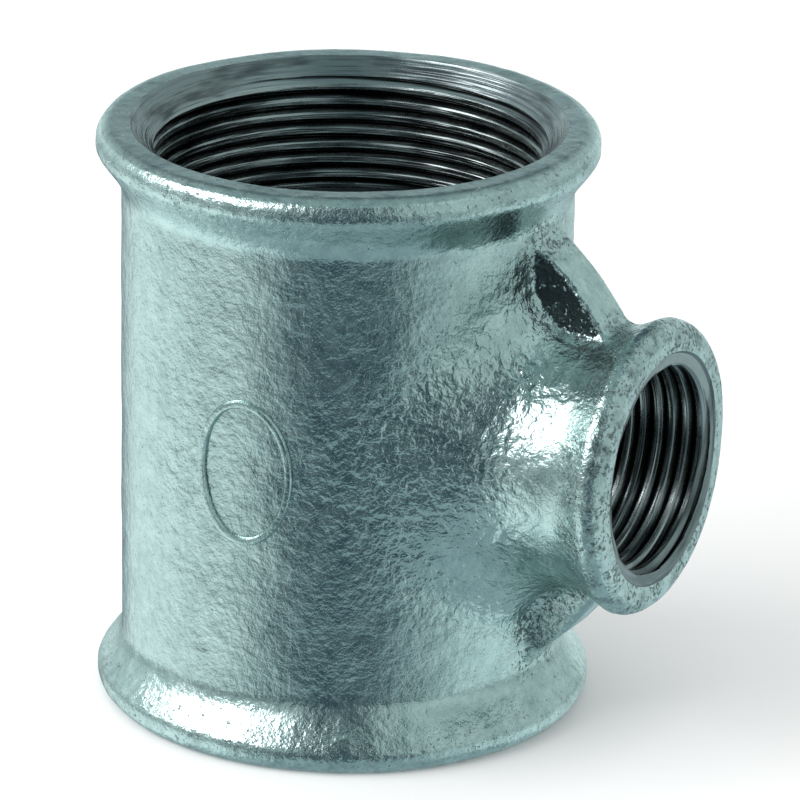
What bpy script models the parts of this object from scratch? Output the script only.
"""Reducing tee in galvanised malleable cast iron: a 2 inch run with a 1 inch branch.

One casting with beaded ends, two webs between run and branch, and a parallel pipe
thread cut into each of its three mouths. Metres, +Z up. The tee stands on one end of
its run, the branch points along +X, and the origin is the bottom centre of its box.
"""

import math

import bmesh
import bpy
from mathutils import Matrix, Vector

# Overall sizes
RUN_LENGTH = 0.088
BRANCH_REACH = 0.0525  # from the run's axis to the branch's face
BARREL_RADIUS = 0.03315
NECK_RADIUS = 0.0194
NECK_FILLET = 0.009  # radius of the round between barrel and neck
ROOT_DEPTH = 0.93  # how deep the branch is rooted, as a share of its distance from the run's axis

# Beads: a flat land at the mouth, a rounded shoulder, and a flank that runs out
RUN_BEAD = {"land": 0.03447, "radius": 0.03682, "shoulder": 0.0025, "crest": 0.0034,
            "flank_end": 0.0102, "steepness": 0.67}
BRANCH_BEAD = {"land": 0.0192, "radius": 0.0218, "shoulder": 0.0027, "crest": 0.0029,
               "flank_end": 0.0100, "steepness": 0.57}

# Parallel pipe threads, 11 to the inch
PITCH = 0.0254 / 11
RUN_THREAD = {"root": 0.059614 / 2, "crest": 0.056656 / 2, "length": 0.020}
BRANCH_THREAD = {"root": 0.033249 / 2, "crest": 0.030291 / 2, "length": 0.0153}
CREST_FLAT = PITCH / 6
RUN_MOUTH_RADIUS = 0.0318
BRANCH_MOUTH_RADIUS = 0.0174
MOUTH_SLOPE = math.radians(45)
RUN_CAVITY_RADIUS = 0.0300
BRANCH_CAVITY_RADIUS = 0.0168
TAP_PAST_FACE = 0.0005  # how far a tap's first whole turn starts outside the face
CONE_INSIDE_CREST = PITCH / 2  # how far inside the crests a mouth's chamfer ends

# Webs in the plane of both axes, measured from the run's axis and the branch's axis
WEB_THICKNESS = 0.0060
WEB_EDGE_ROUND = 0.0014
WEB_AT_BARREL = (0.0332, 0.0330)
WEB_AT_BRANCH = (0.0455, 0.0195)
WEB_BULGE = 0.0011
WEB_CORE = 0.026  # how far in towards the run's axis the web is rooted
WEB_FOOT = 0.7 * NECK_RADIUS  # how far in towards the branch's axis
WEB_RISE = 0.003  # how much further up the root is than the web's free edge

# Facets
RUN_STEPS = 64
BRANCH_STEPS = 44
RUN_THREAD_STEPS = 30
BRANCH_THREAD_STEPS = 24
SHOULDER_STEPS = 3
FLANK_STEPS = 6
FILLET_STEPS = 5
WEB_STEPS = 6
WEB_ROUND_STEPS = 2
WEB_EDGE_ANGLE = math.radians(60)  # the webs are rounded along edges sharper than this
SHARP_ANGLE = math.radians(35)  # shading breaks at edges sharper than this
WELD = 0.000005
PAST_FACE = 0.002  # how far a cutter runs past the face that it opens

RUN_AXIS_X = (RUN_BEAD["radius"] - BRANCH_REACH) / 2
BRANCH_AXIS_Z = RUN_LENGTH / 2
ZINC = {"Base Color": (0.50, 0.58, 0.58, 1.0), "Metallic": 0.85, "Roughness": 0.42}


def clear_scene():
    for obj in list(bpy.data.objects):
        bpy.data.objects.remove(obj)


def new_collection(name, hidden=False):
    group = bpy.data.collections.new(name)
    bpy.context.scene.collection.children.link(group)
    group.hide_render = hidden
    return group


def add_object(name, mesh, group):
    obj = bpy.data.objects.new(name, mesh)
    group.objects.link(obj)
    return obj


def mark_helper(obj):
    obj.hide_render = True
    obj.display_type = "WIRE"


def place_on_run(obj):
    obj.location = (RUN_AXIS_X, 0, 0)


def place_on_branch(obj):
    """The object's own Z becomes the branch's axis, counted from the run's axis."""
    obj.rotation_euler = (0, math.radians(90), 0)
    obj.location = (RUN_AXIS_X, 0, BRANCH_AXIS_Z)


def evaluated_mesh(obj):
    bpy.context.view_layer.update()
    graph = bpy.context.evaluated_depsgraph_get()
    return bpy.data.meshes.new_from_object(obj.evaluated_get(graph))


def boundary_loops(shape):
    """The open rims of a surface, each as an ordered list of vertices."""
    edges = {edge for edge in shape.edges if edge.is_boundary}
    loops = []
    while edges:
        edge = edges.pop()
        loop = list(edge.verts)
        while True:
            onward = [e for e in loop[-1].link_edges if e in edges]
            if not onward:
                break
            edges.discard(onward[0])
            loop.append(onward[0].other_vert(loop[-1]))
        loops.append(loop[:-1] if loop[-1] is loop[0] else loop)
    return loops


def close_ends(shape):
    """Fans each rim to the point in its middle."""
    for loop in boundary_loops(shape):
        middle = shape.verts.new(sum((vert.co for vert in loop), Vector()) / len(loop))
        for here, there in zip(loop, loop[1:] + loop[:1]):
            shape.faces.new((here, there, middle))


def close_solid(mesh):
    """Joins touching points, closes open ends and turns every face outwards."""
    shape = bmesh.new()
    shape.from_mesh(mesh)
    bmesh.ops.remove_doubles(shape, verts=shape.verts, dist=WELD)
    close_ends(shape)
    bmesh.ops.recalc_face_normals(shape, faces=shape.faces)
    shape.to_mesh(mesh)
    shape.free()


def profile_mesh(name, points):
    """An open outline in the XZ plane from (radius, height) points."""
    mesh = bpy.data.meshes.new(name)
    edges = [(i, i + 1) for i in range(len(points) - 1)]
    mesh.from_pydata([(r, 0, z) for r, z in points], edges, [])
    return mesh


def turned(name, points, steps, group):
    """A solid of revolution about its own Z; the points run top to bottom."""
    obj = add_object(name, profile_mesh(name, points), group)
    screw = obj.modifiers.new("Turn", "SCREW")
    screw.steps = screw.render_steps = steps
    screw.use_merge_vertices = True
    screw.merge_threshold = WELD
    return obj


def bead_profile(bead, body_radius):
    """(radius, depth below the face) from the land's edge to where the flank runs out."""
    points = []
    for i in range(SHOULDER_STEPS + 1):
        turn = math.pi / 2 * i / SHOULDER_STEPS
        radius = bead["land"] + (bead["radius"] - bead["land"]) * math.sin(turn)
        points.append((radius, bead["shoulder"] * (1 - math.cos(turn))))
    flank = bead["flank_end"] - bead["crest"]
    for i in range(FLANK_STEPS + 1):
        t = i / FLANK_STEPS
        fall = (t * t * (3 - 2 * t)) ** bead["steepness"]
        radius = bead["radius"] + (body_radius - bead["radius"]) * fall
        points.append((radius, bead["crest"] + flank * t))
    return points


def run_solid(group):
    upper = [(r, RUN_LENGTH - depth) for r, depth in bead_profile(RUN_BEAD, BARREL_RADIUS)]
    lower = [(r, RUN_LENGTH - z) for r, z in reversed(upper)]
    obj = turned("run", [(0, RUN_LENGTH), *upper, *lower, (0, 0)], RUN_STEPS, group)
    place_on_run(obj)
    return obj


def ring(radius, reach):
    """A circle about the branch's axis, as points counted from where the axes cross."""
    angles = [math.tau * i / BRANCH_STEPS for i in range(BRANCH_STEPS)]
    return [Vector((reach, radius * math.cos(a), radius * math.sin(a))) for a in angles]


def fillet_arc(angle):
    """One section of the round, where a ball rolls in the corner of neck and barrel."""
    reach = NECK_RADIUS + NECK_FILLET
    lateral = reach * math.cos(angle)
    centre = Vector((math.sqrt((BARREL_RADIUS + NECK_FILLET) ** 2 - lateral ** 2),
                     lateral, reach * math.sin(angle)))
    on_neck = Vector((centre.x, NECK_RADIUS * math.cos(angle), NECK_RADIUS * math.sin(angle)))
    scale = BARREL_RADIUS / (BARREL_RADIUS + NECK_FILLET)
    on_barrel = Vector((centre.x * scale, centre.y * scale, centre.z))
    start, end = (on_neck - centre).normalized(), (on_barrel - centre).normalized()
    arc = [centre + NECK_FILLET * start.slerp(end, i / FILLET_STEPS)
           for i in range(FILLET_STEPS + 2)]
    return [*arc, Vector((on_barrel.x * ROOT_DEPTH, arc[-1].y, arc[-1].z))]


def branch_solid(group):
    """A loft from the branch's face along bead and neck, through the round, into the barrel."""
    rings = [ring(r, BRANCH_REACH - depth) for r, depth in bead_profile(BRANCH_BEAD, NECK_RADIUS)]
    arcs = [fillet_arc(math.tau * i / BRANCH_STEPS) for i in range(BRANCH_STEPS)]
    rings += [list(points) for points in zip(*arcs)]
    points = [point for loop in rings for point in loop]
    faces = []
    for row in range(len(rings) - 1):
        for i in range(BRANCH_STEPS):
            j = (i + 1) % BRANCH_STEPS
            here, there = row * BRANCH_STEPS, (row + 1) * BRANCH_STEPS
            faces.append((here + i, here + j, there + j, there + i))
    mesh = bpy.data.meshes.new("branch")
    mesh.from_pydata(points, [], faces)
    close_solid(mesh)
    obj = add_object("branch", mesh, group)
    obj.location = (RUN_AXIS_X, 0, BRANCH_AXIS_Z)
    return obj


def web_outline():
    """The web above the branch: its free edge is a flat arc from barrel to bead."""
    start, end = Vector(WEB_AT_BARREL), Vector(WEB_AT_BRANCH)
    outward = Vector((start.y - end.y, end.x - start.x)).normalized()
    points = []
    for i in range(WEB_STEPS + 1):
        t = i / WEB_STEPS
        points.append(start.lerp(end, t) + outward * WEB_BULGE * 4 * t * (1 - t))
    return [*points, Vector((end.x, WEB_FOOT)), Vector((WEB_CORE, WEB_FOOT)),
            Vector((WEB_CORE, start.y + WEB_RISE))]


def web_solid(name, side, group):
    """side is +1 for the web above the branch and -1 for the one below."""
    curve = bpy.data.curves.new(name, "CURVE")
    curve.dimensions = "2D"
    curve.fill_mode = "BOTH"
    curve.extrude = WEB_THICKNESS / 2
    outline = web_outline()
    spline = curve.splines.new("POLY")
    spline.points.add(len(outline) - 1)
    for place, point in zip(spline.points, outline):
        place.co = (point.x, side * point.y, 0, 1)
    spline.use_cyclic_u = True
    drawn = add_object(name, curve, group)
    drawn.rotation_euler = (math.radians(90), 0, 0)
    drawn.location = (RUN_AXIS_X, 0, BRANCH_AXIS_Z)
    mesh = evaluated_mesh(drawn)
    close_solid(mesh)
    obj = add_object(name + "_solid", mesh, group)
    obj.matrix_world = drawn.matrix_world
    bpy.data.objects.remove(drawn)
    bevel = obj.modifiers.new("Edges", "BEVEL")
    bevel.width = WEB_EDGE_ROUND
    bevel.segments = WEB_ROUND_STEPS
    bevel.limit_method = "ANGLE"
    bevel.angle_limit = WEB_EDGE_ANGLE
    return obj


def tap_profile(thread):
    """One pitch of the thread form, top to bottom: a crest flat and a sharp root."""
    crest, root = thread["crest"], thread["root"]
    return [(crest, 0), (crest, -CREST_FLAT), (root, -(PITCH + CREST_FLAT) / 2), (crest, -PITCH)]


def tap(name, thread, face, steps, group):
    """A cutter with the thread's form about its own Z, whole from the face inwards."""
    turns = math.ceil((thread["length"] + TAP_PAST_FACE) / PITCH) + 1
    drawn = add_object(name, profile_mesh(name, tap_profile(thread)), group)
    screw = drawn.modifiers.new("Thread", "SCREW")
    screw.steps = screw.render_steps = steps
    screw.iterations = turns
    screw.screw_offset = PITCH
    screw.use_merge_vertices = False
    mesh = evaluated_mesh(drawn)
    bpy.data.objects.remove(drawn)
    close_solid(mesh)
    lift = face + TAP_PAST_FACE - (turns - 1) * PITCH
    mesh.transform(Matrix.Translation((0, 0, lift)))
    return add_object(name, mesh, group)


def mouth_cone(name, mouth_radius, thread, face, steps, group):
    """The chamfer that leads into a thread, from past the face to inside the crests."""
    past = mouth_radius + PAST_FACE * math.tan(MOUTH_SLOPE)
    inner = thread["crest"] - CONE_INSIDE_CREST
    depth = (mouth_radius - inner) / math.tan(MOUTH_SLOPE)
    points = [(0, face + PAST_FACE), (past, face + PAST_FACE), (inner, face - depth),
              (0, face - depth)]
    return turned(name, points, steps, group)


def cylinder(name, radius, low, high, steps, group):
    return turned(name, [(0, high), (radius, high), (radius, low), (0, low)], steps, group)


def run_cutters(group):
    """The run's two threads and mouths, the lower pair turned over, and its cavity."""
    half = RUN_LENGTH / 2
    cutters = []
    for end, tilt in (("top", 0), ("bottom", math.pi)):
        made = [
            tap(f"{end}_tap", RUN_THREAD, half, RUN_THREAD_STEPS, group),
            mouth_cone(f"{end}_mouth", RUN_MOUTH_RADIUS, RUN_THREAD, half, RUN_STEPS, group),
        ]
        for cutter in made:
            cutter.rotation_euler = (tilt, 0, 0)
        cutters += made
    reach = half - RUN_THREAD["length"]
    cutters.append(cylinder("run_cavity", RUN_CAVITY_RADIUS, -reach, reach, RUN_STEPS, group))
    for cutter in cutters:
        cutter.location = (RUN_AXIS_X, 0, half)
    return cutters


def branch_cutters(group):
    cavity_end = BRANCH_REACH - BRANCH_THREAD["length"]
    cutters = [
        tap("branch_tap", BRANCH_THREAD, BRANCH_REACH, BRANCH_THREAD_STEPS, group),
        mouth_cone("branch_mouth", BRANCH_MOUTH_RADIUS, BRANCH_THREAD, BRANCH_REACH,
                   BRANCH_STEPS, group),
        cylinder("branch_cavity", BRANCH_CAVITY_RADIUS, 0, cavity_end, BRANCH_STEPS, group),
    ]
    for cutter in cutters:
        place_on_branch(cutter)
    return cutters


def combine(target, tools, operation, solver="EXACT"):
    for tool in tools:
        boolean = target.modifiers.new(tool.name, "BOOLEAN")
        boolean.operation = operation
        boolean.solver = solver
        boolean.object = tool
        mark_helper(tool)


def zinc_material():
    material = bpy.data.materials.new("galvanised_iron")
    material.use_nodes = True
    shader = material.node_tree.nodes["Principled BSDF"]
    for name, value in ZINC.items():
        shader.inputs[name].default_value = value
    return material


def build():
    clear_scene()
    parts = new_collection("reducing_tee")
    helpers = new_collection("tee_helpers", hidden=True)
    blank = run_solid(helpers)
    mark_helper(blank)
    webs = [web_solid("upper_web", 1, helpers), web_solid("lower_web", -1, helpers)]
    combine(blank, [branch_solid(helpers), *webs], "UNION")
    # The mouth cones graze the thread roots, where the exact solver leaves open edges.
    combine(blank, run_cutters(helpers) + branch_cutters(helpers), "DIFFERENCE", "MANIFOLD")
    body = add_object("tee_body", evaluated_mesh(blank), parts)
    body.matrix_world = blank.matrix_world
    body.data.materials.clear()
    body.data.materials.append(zinc_material())
    body.data.shade_smooth()
    body.data.set_sharp_from_angle(angle=SHARP_ANGLE)


build()
